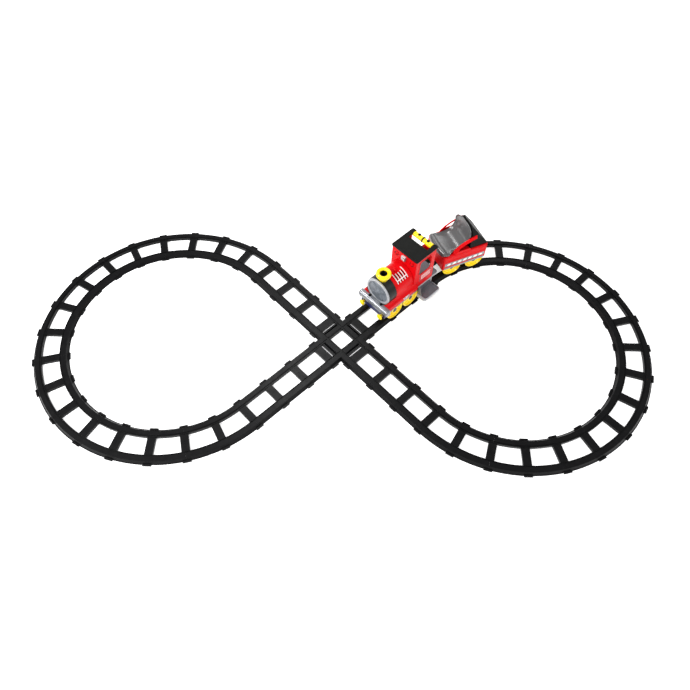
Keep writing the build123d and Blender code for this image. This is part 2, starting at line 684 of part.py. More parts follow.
def save_electrics():
    floor_z = DECK_Z + DECK_THICKNESS
    battery = block(600, 668, -50, 50, floor_z, floor_z + 96)
    terminal = block(608, 616, 33, 39, floor_z + 95, floor_z + 102)
    terminals = both_sides(terminal)
    save_loco("battery", battery + terminals)
    board = block(508, 578, -38, 38, floor_z + 6, floor_z + 7.6)
    posts = [rod_z(3, floor_z, floor_z + 6.5, x=x, y=y) for x in (514, 572) for y in (-32, 32)]
    relays = [block(540, 560, y, y + 16, floor_z + 7.4, floor_z + 22) for y in (-26, 6)]
    save_loco("sound_board", board + posts + relays)


def cab_walls():
    """Front and side walls, open at the back. The lower front corner clears the boiler shell."""
    inner = CAB_HALF - CAB_WALL
    outside = block(CAB_FRONT, CAB_REAR, -CAB_HALF, CAB_HALF, 188, ROOF_BOTTOM)
    inside = block(CAB_FRONT + CAB_WALL, CAB_REAR + 1, -inner, inner, 180, ROOF_BOTTOM + 1)
    step = block(CAB_FRONT - 1, BODY_REAR + 0.5, -160, 160, 180, WAIST_Z + 0.2)
    return outside - inside - step


def save_cab():
    window = block(746, 882, -160, 160, 352, 512)
    window = fillet(window.edges().filter_by(Axis.Y), 22)
    spectacles = [rod_x(21, CAB_FRONT - 5, CAB_FRONT + 8, y=side * 84, z=490) for side in (-1, 1)]
    cab = cab_walls() - window - spectacles
    trims = []
    for side in (-1, 1):
        place = Pos(CAB_FRONT + 0.5, side * 84, 490) * Rot(0, -90, 0)
        trims.append(place * turned([(21, 0), (27, 0), (27, 3.5), (21, 3.5)]))
    brow = block(CAB_FRONT + 1, CAB_REAR, CAB_HALF - 1, CAB_HALF + 3, ROOF_BOTTOM - 14, ROOF_BOTTOM)
    save_loco("cab", cab + trims + both_sides(brow))
    save_loco("whistle_housing", block(CAB_FRONT - 20, CAB_FRONT, -21, 21, 482, 522))


HANDLE_X = 922.0
GRIP_X = 918.0
GRIP_RADIUS = 26.0
GRIP_Z = 546.0
GRIP_TOP = GRIP_Z + GRIP_RADIUS
BUTTON_BORE = 8.4
HAND_OPENING = 102.0


def save_roof_and_handle():
    roof = block(ROOF_FRONT, ROOF_REAR, -ROOF_HALF, ROOF_HALF, ROOF_BOTTOM, ROOF_TOP)
    roof = fillet(vertical_edges(roof), 14)
    roof = fillet(roof.faces().sort_by(Axis.Z)[-1].edges(), 5)
    roof = roof - block(848, ROOF_REAR + 1, -HAND_OPENING, HAND_OPENING, 500, 600)
    save_loco("cab_roof", roof)

    inner = CAB_HALF - CAB_WALL
    bar = block(HANDLE_X - 17, HANDLE_X + 9, -inner, inner, GRIP_Z - 16, GRIP_Z - 0.2)
    bar = fillet(bar.edges().filter_by(Axis.Y).sort_by(Axis.Z)[:2], 6)
    pads = both_sides(block(HANDLE_X - 17, HANDLE_X + 9, HAND_OPENING + 3, inner, GRIP_Z - 1, ROOF_BOTTOM))
    save_loco("handle_bar", bar + pads)

    below = block(GRIP_X - 40, GRIP_X + 40, -120, 120, GRIP_Z - 60, GRIP_Z)
    button_x = GRIP_X + 4
    grips = []
    for side in (-1, 1):
        y0, y1 = sorted((side * 5.5, side * 99.0))
        grip = rod_y(GRIP_RADIUS, y0, y1, GRIP_X, GRIP_Z) - below
        grip = grip - rod_z(BUTTON_BORE, GRIP_TOP - 16, GRIP_TOP + 10, x=button_x, y=side * 48)
        grips.append(grip)
    save_loco("handle_grips", *grips)
    save_loco("grip_divider", rod_y(GRIP_RADIUS + 2, -5, 5, GRIP_X, GRIP_Z) - below)
    for side, node in ((-1, "accelerator_button"), (1, "whistle_button")):
        cap = rod_z(BUTTON_BORE - 0.4, GRIP_TOP - 12, GRIP_TOP + 5, x=button_x, y=side * 48)
        save_loco(node, fillet(cap.edges().sort_by(Axis.Z)[-1], 2))

    box_front, box_rear, box_end, box_bottom = 877.0, HANDLE_X + 9, -6.0, 436.0
    step_z, box_top = 496.0, GRIP_Z - 16.2
    switch_box = block(box_front, box_rear, -inner, box_end, box_bottom, step_z)
    switch_box = fillet(vertical_edges(switch_box).sort_by(Axis.Y)[-2:], 8)
    riser = block(HANDLE_X - 17, box_rear, -inner, -34, step_z - 1, box_top)
    wall = 3.0
    hollow_x = (box_front + wall, box_rear - wall)
    hollow = block(*hollow_x, wall - inner, box_end - wall, box_bottom + wall, step_z - wall)
    chimney = block(HANDLE_X - 14, box_rear - wall, wall - inner, -37, step_z - 4, box_top - wall)
    save_loco("switch_box", switch_box + riser - [hollow, chimney])


def save_footplate():
    """The grey deck under the cab, with a lower step and a toe guard on each side."""
    deck = block(750, 1016, -137, 137, FOOTPLATE_Z - 6, FOOTPLATE_Z)
    deck = fillet(vertical_edges(deck).sort_by(Axis.X)[-2:], 26)
    floor_z, rim_z = 104.0, 119.0
    front, rear, inner, outer = 752.0, 935.0, 146.0, 240.0

    def rounded(grow, z0, z1, radius):
        plate = block(front - grow, rear + grow, inner - 20, outer + grow, z0, z1)
        return fillet(vertical_edges(plate).sort_by(Axis.Y)[2:], radius)

    tray = rounded(0, floor_z, rim_z, 22) - rounded(-6, floor_z + 6, rim_z + 1, 16)
    wheel_space = block(front - 1, 779, 100, inner, floor_z - 1, rim_z + 1)
    riser = block(778, 940, 131, 137, floor_z, FOOTPLATE_Z - 5)
    link = block(778, 935, 131, inner, floor_z, floor_z + 6)
    guard_face = [(152, 108), (212, 108), (190, 130), (176, 160), (174, 196), (166, 206), (152, 206)]
    guard = prism_x(guard_face, front, front + 6)
    deck_space = block(front, rear + 1, 100, 137, floor_z - 1, rim_z + 1)
    side = tray - wheel_space - deck_space + [riser, link, guard]
    save_loco("footplate", deck + both_sides(side))


def save_screws():
    body_places = screw_places(BODY_SCREW_X, BODY_SCREW_Y)
    save_loco("body_screws", *[screw(x, y, DECK_Z, 14) for x, y in body_places])
    seat_places = screw_places(SEAT_SCREW_X, SEAT_SCREW_Y)
    head_z = TENDER_TOP - TENDER_WALL
    save_tender("seat_screws", *[screw(x, y, head_z, 8) for x, y in seat_places])


# ---- tender ----
def save_tender_body():
    outer = block(TENDER_FRONT, TENDER_REAR, -TENDER_HALF, TENDER_HALF, TENDER_BOTTOM, TENDER_TOP)
    outer = fillet(vertical_edges(outer), 14)
    outer = fillet(outer.faces().sort_by(Axis.Z)[-1].edges(), 7)
    wall = TENDER_WALL
    half = TENDER_HALF - wall
    inner = block(TENDER_FRONT + wall, TENDER_REAR - wall, -half, half, TENDER_BOTTOM - 1, TENDER_TOP - wall)
    inner = fillet(vertical_edges(inner), 11)
    places = screw_places(SEAT_SCREW_X, SEAT_SCREW_Y)
    holes = [rod_z(SCREW_RADIUS + 0.1, TENDER_TOP - 10, TENDER_TOP + 5, x=x, y=y) for x, y in places]
    save_tender("tender_body", outer - inner - holes)


def save_tender_chassis():
    spine_top = 206.0
    spine = block(-200, 200, -SPINE_HALF, SPINE_HALF, TENDER_SPINE_BOTTOM, spine_top)
    inside = SPINE_HALF - 4
    hollow = block(-196, 196, -inside, inside, TENDER_SPINE_BOTTOM + 4, spine_top - 4)
    deck_half = TENDER_HALF - TENDER_WALL
    deck_z = spine_top + 12
    deck = block(TENDER_FRONT + 20, TENDER_REAR - 20, -deck_half, deck_half, deck_z, deck_z + 4)
    posts = []
    for x in (-180, 0, 180):
        posts.append(block(x - 10, x + 10, -SPINE_HALF, SPINE_HALF, spine_top - 1, deck_z + 1))
    bores = [rod_y(AXLE_RADIUS + AXLE_CLEARANCE, -80, 80, x, AXLE_Z) for x in TENDER_AXLES]
    save_tender("tender_chassis", spine + posts + [deck] - hollow - bores)


def hitch_in_tender():
    """The hitch pin's place in the tender's frame, as (x, y)."""
    arm = radians(ARM_ANGLE)
    heading = radians(ARM_ANGLE - TENDER_TURN)
    middle = TENDER_FRAME.position
    dx = HITCH_X * cos(arm) - middle.X
    dy = HITCH_X * sin(arm) - middle.Y
    return dx * cos(heading) + dy * sin(heading), dy * cos(heading) - dx * sin(heading)


def save_tow_bar():
    """A flat bar fixed under the tender. Its upright pin rides in the locomotive's cross slot."""
    pin_x, pin_y = hitch_in_tender()
    root_x = -150.0
    length = hypot(pin_x - root_x, pin_y)
    heading = degrees(atan2(pin_y, pin_x - root_x))
    z0, z1 = TOW_BAR_Z
    knob_z = HITCH_PLATE[1] + 4
    bar = block(0, length, -17, 17, z0, z1)
    ends = [rod_z(17, z0, z1, x=length), rod_z(30, z0, z1)]
    pin = rod_z(6, z0 + 1, knob_z + 1, x=length)
    knob = rod_z(11, knob_z, knob_z + 6, x=length)
    pad = block(root_x - 30, root_x + 40, -44, 44, z0, TENDER_SPINE_BOTTOM)
    swung = Pos(root_x, 0, 0) * Rot(0, 0, heading) * (bar + ends + [pin, knob])
    save_tender("tow_bar", swung + pad)


def strip(path, thickness):
    """The polygon between a path and the same path moved down its right-hand side."""
    lower = []
    for index, (x, z) in enumerate(path):
        before = path[max(index - 1, 0)]
        after = path[min(index + 1, len(path) - 1)]
        run, rise = after[0] - before[0], after[1] - before[1]
        size = hypot(run, rise)
        lower.append((x + thickness * rise / size, z - thickness * run / size))
    return path + lower[::-1]


def arc_points(centre_x, centre_z, radius, start, stop, steps):
    """Points along an arc. The angles are from +X towards +Z."""
    angles = [radians(start + (stop - start) * index / steps) for index in range(steps + 1)]
    return [(centre_x + radius * cos(angle), centre_z + radius * sin(angle)) for angle in angles]


def seat_path():
    """The seat's upper surface: front lip, pan, bend and back."""
    pan_z = TENDER_TOP + SEAT_SHEET + CONTACT_GAP
    bend_x = SEAT_BACK_X - SEAT_SHEET - SEAT_BEND
    lip = arc_points(TENDER_FRONT - 1, pan_z - 2, 13, 175, 75, 4)
    pan = [(-160, pan_z + 5), (-90, pan_z)]
    turn = arc_points(bend_x, pan_z + SEAT_BEND, SEAT_BEND, -90, -SEAT_LEAN, 7)
    foot_x, foot_z = turn[-1]
    top = (foot_x + (SEAT_TOP - foot_z) * tan(radians(SEAT_LEAN)), SEAT_TOP)
    return lip + pan + turn + [top]


def save_seat():
    """A bucket seat: one bent sheet with a rim along each side and a wide rounded lip in front."""
    lip_half = TENDER_HALF - 6
    path = seat_path()
    sheet = prism_y(strip(path, SEAT_SHEET), -lip_half, lip_half)
    rim_path = path[6:]
    rims = both_sides(prism_y(strip(rim_path, -12), -SEAT_HALF, -SEAT_HALF + 6))
    right_side = [(-160, lip_half), (-140, lip_half - 3), (-126, SEAT_HALF), (120, SEAT_HALF)]
    left_side = [(x, -y) for x, y in reversed(right_side)]
    front = ThreePointArc((-160, -lip_half), (-232, 0), (-160, lip_half))
    plan = make_face([Polyline(*right_side, *left_side), front])
    low = block(-260, 150, -lip_half - 1, lip_half + 1, TENDER_TOP - 60, TENDER_TOP + 60)
    back = block(-260, 150, -SEAT_HALF, SEAT_HALF, TENDER_TOP + 40, SEAT_TOP)
    back = fillet(back.edges().filter_by(Axis.X).sort_by(Axis.Z)[-2:], 68)
    seat = (sheet + rims) & (Pos(0, 0, 200) * extrude(plan, amount=400)) & (low + back)
    places = screw_places(SEAT_SCREW_X, SEAT_SCREW_Y)
    holes = [rod_z(SCREW_RADIUS + 0.1, TENDER_TOP - 2, TENDER_TOP + 5, x=x, y=y) for x, y in places]
    save_tender("seat", seat - holes)


def save_armrests():
    """A side panel on each side that rises to the seat's back. A tapered gap leaves a rail along its top."""
    crest = [(-124, 306), (-110, 330), (-76, 360), (-20, 393), (40, 417), (88, 430)]
    inner = SEAT_HALF + CONTACT_GAP
    section = [(inner, 0), (131, 0), (149, -40), (149, -150), (143, -150), (143, -42), (inner, -14)]
    sections = []
    for x, z in crest:
        points = [(across, z + rise) for across, rise in section]
        outline = Plane.YZ * make_face(Polyline(*points, close=True))
        sections.append(Pos(x, 0, 0) * outline)
    below = block(-300, 300, 0, 200, 0, TENDER_TOP + CONTACT_GAP)
    gap = [
        (-84, 316), (30, 316), (50, TENDER_TOP - 5), (100, TENDER_TOP - 5), (100, 409), (88, 406),
        (40, 392), (-20, 368), (-68, 338),
    ]
    arm = loft(sections, ruled=True) - below - prism_y(gap, 100, 200)
    save_tender("armrests", *both_sides(arm))


def save_rear_cover():
    """The black cover that backs the seat and slopes down to the tender's tail."""
    foot = TENDER_TOP + CONTACT_GAP
    lean = tan(radians(SEAT_LEAN))
    front_x = SEAT_BACK_X + 5
    tail_x = TENDER_REAR - 8
    crown_z = SEAT_TOP - 6
    crown_x = front_x + (crown_z - foot) * lean
    outer = [
        (front_x, foot), (crown_x, crown_z), (crown_x + 14, crown_z - 3), (tail_x, foot + 14), (tail_x, foot),
    ]
    inner = [
        (front_x + 4, foot - 1), (crown_x + 3, crown_z - 20), (crown_x + 8, crown_z - 20),
        (tail_x - 4, foot + 11), (tail_x - 4, foot - 1),
    ]
    narrow = SEAT_HALF
    cover = prism_y(outer, -COVER_HALF, COVER_HALF) - prism_y(inner, -narrow + 4, narrow - 4)
    side_view = [
        (-COVER_HALF, foot - 5), (COVER_HALF, foot - 5), (COVER_HALF, foot + 22), (narrow, foot + 70),
        (narrow, crown_z - 60), (narrow - 60, crown_z + 5),
        (60 - narrow, crown_z + 5), (-narrow, crown_z - 60),
        (-narrow, foot + 70), (-COVER_HALF, foot + 22),
    ]
    outline = prism_x(side_view, 0, 300)
    save_tender("rear_cover", cover & outline)


def main():
    os.makedirs("parts", exist_ok=True)
    save_track()
    save_wheelset(save_loco, "front", LOCO_AXLES[0])
    save_wheelset(save_loco, "rear", LOCO_AXLES[1])
    save_gear_train()
    save_boiler_shell()
    save_speaker()
    save_sound_button()
    save_smokebox()
    save_funnel()
    save_front_end()
    save_chassis()
    save_electrics()
    save_cab()
    save_roof_and_handle()
    save_footplate()
    save_screws()
    save_wheelset(save_tender, "tender_front", TENDER_AXLES[0])
    save_wheelset(save_tender, "tender_rear", TENDER_AXLES[1])
    save_tender_body()
    save_tender_chassis()
    save_tow_bar()
    save_seat()
    save_armrests()
    save_rear_cover()


main()
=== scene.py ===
"""Looks for the ride-on battery train and its figure-of-eight track.

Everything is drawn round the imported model. The locomotive and the tender each have a frame of their
own, in millimetres: X runs back along the train, Y to the train's right and Z up from the floor.
"""

import json
import math

import bmesh
import bpy
from mathutils import Matrix, Vector


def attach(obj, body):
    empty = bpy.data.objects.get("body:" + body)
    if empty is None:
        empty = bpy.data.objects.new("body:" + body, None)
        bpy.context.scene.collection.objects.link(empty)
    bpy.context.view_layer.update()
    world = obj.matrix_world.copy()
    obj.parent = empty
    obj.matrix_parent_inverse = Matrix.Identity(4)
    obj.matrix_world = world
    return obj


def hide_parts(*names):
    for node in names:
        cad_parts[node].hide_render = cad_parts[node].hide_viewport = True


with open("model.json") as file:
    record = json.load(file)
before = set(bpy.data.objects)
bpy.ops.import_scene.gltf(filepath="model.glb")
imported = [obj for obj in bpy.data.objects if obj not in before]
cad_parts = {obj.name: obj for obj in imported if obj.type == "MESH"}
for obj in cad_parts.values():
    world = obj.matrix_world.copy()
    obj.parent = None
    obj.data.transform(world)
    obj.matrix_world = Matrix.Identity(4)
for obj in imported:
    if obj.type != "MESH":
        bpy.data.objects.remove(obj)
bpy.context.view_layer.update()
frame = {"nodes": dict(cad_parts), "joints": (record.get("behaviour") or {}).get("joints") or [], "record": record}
MM = 0.001
NODES = frame["nodes"]
JOINTS = {joint["name"]: joint for joint in frame["joints"]}


def joint_place(name):
    return Vector(JOINTS[name]["pos_m"])


def train_frame(front_joint, rear_joint, centred):
    """A vehicle's own frame, from where its two axles turn."""
    front, rear = joint_place(front_joint), joint_place(rear_joint)
    back = (rear - front).normalized()
    turn = Matrix.Rotation(math.atan2(back.y, back.x), 4, "Z")
    middle = (front + rear) / 2
    origin = Matrix.Translation((middle.x, middle.y, 0)) if centred else Matrix()
    return origin @ turn


LOCO = train_frame("front_wheels_spin", "rear_wheels_spin", False)
TENDER = train_frame("tender_front_wheels_spin", "tender_rear_wheels_spin", True)
AXLE_Z = joint_place("front_wheels_spin").z / MM
LOCO_AXLES = [joint_place(name).xy.length / MM for name in ("front_wheels_spin", "rear_wheels_spin")]
TENDER_AXLES = [joint_place(name) for name in ("tender_front_wheels_spin", "tender_rear_wheels_spin")]
TENDER_HALF_BASE = (TENDER_AXLES[1] - TENDER_AXLES[0]).length / MM / 2

# Sizes shared with the CAD model, in millimetres.
BOILER_Z, BOILER_RADIUS = 313.0, 124.0
SKIRT_HALF, SKIRT_BOTTOM, SKIRT_TOP = 148.0, 165.0, 222.0
BODY_FRONT, BODY_REAR = 397.0, 745.0
DOOR_BACK = 418.0
FUNNEL_X, SOUND_BUTTON_X = 460.0, 594.0
BEAM_FRONT, BEAM_TOP = 347.0, 220.0
CAB_FRONT, CAB_HALF = 698.0, 135.0
ROOF_TOP = 565.0
DECK_Z, DECK_HALF = 187.5, 137.0
STEP_FRONT, STEP_REAR, STEP_INNER, STEP_OUTER, STEP_CORNER = 752.0, 935.0, 154.0, 240.0, 22.0
STEP_FLOOR, STEP_RIM = 110.0, 119.0
GRIP_X, GRIP_Z, GRIP_RADIUS = 918.0, 546.0, 26.0
TENDER_HALF, TENDER_BOTTOM, TENDER_TOP = 150.0, 128.0, 292.0
SEAT_TOP, SEAT_HALF, SEAT_LEAN = 500.0, 122.0, 4.0
COVER_FRONT, COVER_TAIL = 39.0, 207.0


# ---- materials ----
def node(tree, kind, **values):
    made = tree.nodes.new(kind)
    for key, value in values.items():
        if hasattr(made, key):
            setattr(made, key, value)
        else:
            made.inputs[key.replace("_", " ")].default_value = value
    return made


def plastic(name, colour, rough, vary, grain, depth, coat=0.0, metal=0.0, shine=0.5, scuff=0.0, dust=0.0):
    """Moulded plastic: slow colour variation, mould grain, patchy gloss, faint scuffs and a little dust."""
    material = bpy.data.materials.new(name)
    material.use_nodes = True
    tree = material.node_tree
    shader = tree.nodes["Principled BSDF"]
    shader.inputs["Metallic"].default_value = metal
    shader.inputs["Coat Weight"].default_value = coat
    shader.inputs["Coat Roughness"].default_value = 0.1
    shader.inputs["Specular IOR Level"].default_value = shine
    link = tree.links.new
    where = node(tree, "ShaderNodeTexCoord").outputs["Object"]

    cloud = node(tree, "ShaderNodeTexNoise", Scale=7.0, Detail=4.0, Roughness=0.5)
    link(where, cloud.inputs["Vector"])
    tint = node(tree, "ShaderNodeValToRGB")
    tint.color_ramp.elements[0].position = 0.3
    tint.color_ramp.elements[1].position = 0.7
    tint.color_ramp.elements[0].color = [c * (1 - vary) for c in colour] + [1]
    tint.color_ramp.elements[1].color = [min(1.0, c * (1 + vary)) for c in colour] + [1]
    link(cloud.outputs["Fac"], tint.inputs["Fac"])
    colour_out = tint.outputs["Color"]

    if scuff:
        stretch = node(tree, "ShaderNodeMapping", Scale=(1.0, 1.0, 0.25))
        link(where, stretch.inputs["Vector"])
        streak = node(tree, "ShaderNodeTexNoise", Scale=80.0, Detail=6.0, Roughness=0.7, Distortion=1.5)
        link(stretch.outputs["Vector"], streak.inputs["Vector"])
        mask = node(tree, "ShaderNodeMapRange", From_Min=0.66, From_Max=0.8, To_Min=0.0, To_Max=scuff)
        link(streak.outputs["Fac"], mask.inputs["Value"])
        worn = node(tree, "ShaderNodeMix", data_type="RGBA")
        worn.inputs[7].default_value = [min(1.0, c * 1.35 + 0.02) for c in colour] + [1]
        link(mask.outputs["Result"], worn.inputs["Factor"])
        link(colour_out, worn.inputs[6])
        colour_out = worn.outputs[2]

    if dust:
        facing = node(tree, "ShaderNodeNewGeometry")
        split = node(tree, "ShaderNodeSeparateXYZ")
        link(facing.outputs["Normal"], split.inputs["Vector"])
        speck = node(tree, "ShaderNodeTexNoise", Scale=30.0, Detail=7.0, Roughness=0.65)
        link(where, speck.inputs["Vector"])
        amount = node(tree, "ShaderNodeMath", operation="MULTIPLY")
        link(split.outputs["Z"], amount.inputs[0])
        link(speck.outputs["Fac"], amount.inputs[1])
        settle = node(tree, "ShaderNodeMapRange", From_Min=0.5, From_Max=0.8, To_Min=0.0, To_Max=dust)
        link(amount.outputs["Value"], settle.inputs["Value"])
        dusty = node(tree, "ShaderNodeMix", data_type="RGBA")
        dusty.inputs[7].default_value = (0.22, 0.215, 0.2, 1)
        link(settle.outputs["Result"], dusty.inputs["Factor"])
        link(colour_out, dusty.inputs[6])
        colour_out = dusty.outputs[2]
    link(colour_out, shader.inputs["Base Color"])

    patch = node(tree, "ShaderNodeTexNoise", Scale=18.0, Detail=4.0, Roughness=0.55)
    link(where, patch.inputs["Vector"])
    gloss = node(tree, "ShaderNodeMapRange", From_Min=0.3, From_Max=0.7)
    gloss.inputs["To Min"].default_value = rough * 0.92
    gloss.inputs["To Max"].default_value = rough * 1.12
    link(patch.outputs["Fac"], gloss.inputs["Value"])
    link(gloss.outputs["Result"], shader.inputs["Roughness"])

    soft_edge = node(tree, "ShaderNodeBevel", samples=4)
    soft_edge.inputs["Radius"].default_value = 0.0014
    fine = node(tree, "ShaderNodeTexNoise", Scale=grain, Detail=2.0, Roughness=0.5)
    link(where, fine.inputs["Vector"])
    bump = node(tree, "ShaderNodeBump", Strength=0.4, Distance=depth)
    link(fine.outputs["Fac"], bump.inputs["Height"])
    link(soft_edge.outputs["Normal"], bump.inputs["Normal"])
    link(bump.outputs["Normal"], shader.inputs["Normal"])
    return material


# Name: colour, roughness, variation, grain and grain depth, then what else the material has.
LOOKS = {
    "track_black": ((0.004, 0.004, 0.0045), 0.36, 0.2, 700, 0.0002, {"shine": 0.12, "dust": 0.02}),
    "red": ((0.66, 0.003, 0.006), 0.3, 0.06, 500, 0.00005, {"shine": 0.07, "scuff": 0.04}),
    "yellow": ((1.0, 0.72, 0.007), 0.28, 0.05, 600, 0.00006, {"coat": 0.15, "shine": 0.3, "scuff": 0.05}),
    "silver": ((0.235, 0.243, 0.262), 0.26, 0.04, 500, 0.00003, {"coat": 0.25, "metal": 0.4}),
    "dark_grey": ((0.014, 0.0155, 0.014), 0.4, 0.1, 600, 0.0001, {"shine": 0.18}),
    "roof_black": ((0.005, 0.0055, 0.0048), 0.5, 0.15, 420, 0.0002, {"shine": 0.12, "dust": 0.015}),
    "white": ((0.80, 0.79, 0.78), 0.35, 0.03, 600, 0.00006, {}),
    "step_grey": ((0.125, 0.125, 0.142), 0.3, 0.05, 500, 0.0001, {"coat": 0.2, "scuff": 0.08, "dust": 0.04}),
    "seat_grey": ((0.11, 0.11, 0.112), 0.24, 0.05, 450, 0.00005, {"coat": 0.3, "metal": 0.15, "scuff": 0.04}),
    "plate_blue": ((0.006, 0.010, 0.075), 0.4, 0.15, 600, 0.0001, {"shine": 0.3}),
    "chassis_black": ((0.010, 0.010, 0.011), 0.5, 0.15, 500, 0.0002, {"shine": 0.3, "dust": 0.05}),
    "disc_blue": ((0.155, 0.175, 0.20), 0.3, 0.02, 500, 0.00003, {"coat": 0.15, "metal": 0.2}),
    # pale_grey paints highlights: on the smokebox door's rim and on the footplate edges
    "pale_grey": ((0.38, 0.39, 0.41), 0.25, 0.03, 500, 0.00003, {"coat": 0.3}),
    "hub_dark": ((0.022, 0.022, 0.024), 0.35, 0.12, 600, 0.0001, {}),
    "steel": ((0.5, 0.51, 0.53), 0.28, 0.06, 1500, 0.00005, {"metal": 1.0}),
    "gear_white": ((0.74, 0.73, 0.68), 0.45, 0.05, 700, 0.0001, {}),
    "board_green": ((0.01, 0.12, 0.04), 0.35, 0.12, 800, 0.0001, {}),
    "battery_grey": ((0.05, 0.05, 0.06), 0.45, 0.12, 600, 0.0002, {}),
}
MATERIALS = {name: plastic(name, *numbers, **extras) for name, (*numbers, extras) in LOOKS.items()}
SLOT_OF = {part["node"]: part["material_slot"] for part in frame["record"]["subparts"]}


for name, obj in NODES.items():
    obj.data.materials.clear()
    obj.data.materials.append(MATERIALS[SLOT_OF[name]])


# ---- mesh helpers ----
def add(name, bm, place, body, slot_name, bevel=0.0, auto=35.0, look=None):
    """Turns a mesh drawn in millimetres into a piece that rides on a body.

    auto is the angle in degrees past which an edge stays sharp, and look is another shade for the slot.
    """
    mesh = bpy.data.meshes.new(name)
    bmesh.ops.recalc_face_normals(bm, faces=bm.faces)
    bm.transform(place @ Matrix.Scale(MM, 4))
    bm.to_mesh(mesh)
    bm.free()
    obj = bpy.data.objects.new(name, mesh)
    bpy.context.scene.collection.objects.link(obj)
    mesh.materials.append(MATERIALS[look or slot_name])
    if bevel:
        edge = obj.modifiers.new("edges", "BEVEL")
        edge.width = bevel * MM
        edge.segments = 2
        edge.limit_method = "ANGLE"
        edge.angle_limit = math.radians(40)
    mesh.shade_smooth()
    mesh.set_sharp_from_angle(angle=math.radians(auto))
    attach(obj, body)
    return obj


def skin(bm, rows, wrap=True, caps=True):
    """Covers a run of rows of as many points each. wrap joins each row's ends, caps closes the run's ends."""
    count = len(rows[0])
    for low, high in zip(rows, rows[1:]):
        for index in range(count if wrap else count - 1):
            after = (index + 1) % count
            bm.faces.new((low[index], low[after], high[after], high[index]))
    if caps:
        bm.faces.new(rows[0])
        bm.faces.new(rows[-1])


def lathe(bm, profile, axis_matrix, steps=64):
    """Turns a closed (radius, height) outline about Z, then places it."""
    rings = []
    for step in range(steps):
        angle = 2 * math.pi * step / steps
        ahead = Vector((math.cos(angle), math.sin(angle), 0))
        rings.append([bm.verts.new(axis_matrix @ (r * ahead + Vector((0, 0, h)))) for r, h in profile])
    skin(bm, rings + rings[:1], caps=False)
    bmesh.ops.remove_doubles(bm, verts=bm.verts, dist=0.001)


def box(bm, x0, x1, y0, y1, z0, z1, matrix=None):
    place = Matrix.Translation(((x0 + x1) / 2, (y0 + y1) / 2, (z0 + z1) / 2))
    place = place @ Matrix.Diagonal((x1 - x0, y1 - y0, z1 - z0, 1))
    bmesh.ops.create_cube(bm, size=1.0, matrix=(matrix or Matrix()) @ place)


def both_sides(side, y0, y1):
    """A span of Y on one side of the train, in rising order."""
    return sorted((side * y0, side * y1))


def smooth_line(points, steps):
    """Catmull-Rom through an open run of points of any dimension."""
    pts = [Vector(p) for p in points]
    pts = [2 * pts[0] - pts[1]] + pts + [2 * pts[-1] - pts[-2]]
    out = []
    for index in range(1, len(pts) - 2):
        p0, p1, p2, p3 = pts[index - 1:index + 3]
        for step in range(steps):
            t = step / steps
            out.append(0.5 * (2 * p1 + (p2 - p0) * t + (2 * p0 - 5 * p1 + 4 * p2 - p3) * t * t
                              + (3 * p1 - p0 - 3 * p2 + p3) * t ** 3))
    out.append(pts[-2])
    return out


def rivet(bm, matrix, radius, height):
    """A low domed head on the plane z = 0 of the given frame."""
    dome = [(radius * 0.8, height * 0.6), (radius * 0.4, height * 0.95), (0, height)]
    lathe(bm, [(0, -0.5), (radius, -0.5), (radius, 0)] + dome, matrix, steps=14)


FACE_FORWARD = Matrix.Rotation(math.radians(-90), 4, "Y")      # turns a lathe's +Z to the train's front


# ---- locomotive: front ----
def build_smokebox_door():
    """A smooth dished disc with a broad rim and a cross of four leaf-shaped ridges."""
    bm = bmesh.new()
    place = Matrix.Translation((DOOR_BACK, 0, BOILER_Z)) @ FACE_FORWARD
    profile = [
        (0, 0.3), (104, 0.3), (104, 10), (98, 7), (92, 6.2), (70, 7.6), (45, 9.6), (30, 11), (26, 15),
        (23, 19), (17, 22), (8, 23.6), (0, 24),
    ]
    lathe(bm, profile, place, steps=128)
    first_turn, dish, ridge_height = 38, 6.2, 9.2
    for ridge in range(4):
        turn = place @ Matrix.Rotation(math.radians(first_turn + 90 * ridge), 4, "Z")
        rows = []
        for step in range(13):
            reach = 24 + 68 * step / 12
            half = 2 + 13 * math.sin(math.pi * step / 12) ** 0.8
            row = []
            for index in range(9):
                across = -1 + index / 4
                height = dish + ridge_height * (1 - across * across)
                row.append(bm.verts.new(turn @ Vector((reach, across * half, height))))
            rows.append(row)
        skin(bm, rows)
    door = add("smokebox_front_disc", bm, LOCO, "locomotive", "silver", auto=45, look="disc_blue")
    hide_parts("smokebox_door")
    bm = bmesh.new()
    profile = [
        (101, 0.3), (124.5, 0.3), (126, 3), (126, 10), (124, 14), (119, 16.4), (112, 16.8), (106, 15),
        (101.5, 10.5),
    ]
    lathe(bm, profile, place, steps=128)
    # the pale grey look paints the highlight ring on the rim into its colour
    add("smokebox_front_rim", bm, LOCO, "locomotive", "silver", auto=45, look="pale_grey")
    bm = bmesh.new()
    rivets, rivet_reach, rim_top = 16, 115, 16.0
    for index in range(rivets):
        turn = place @ Matrix.Rotation(2 * math.pi * (index + 0.5) / rivets, 4, "Z")
        rivet(bm, turn @ Matrix.Translation((rivet_reach, 0, rim_top)), 2.6, 1.6)
    add("smokebox_front_rivets", bm, LOCO, "locomotive", "silver")


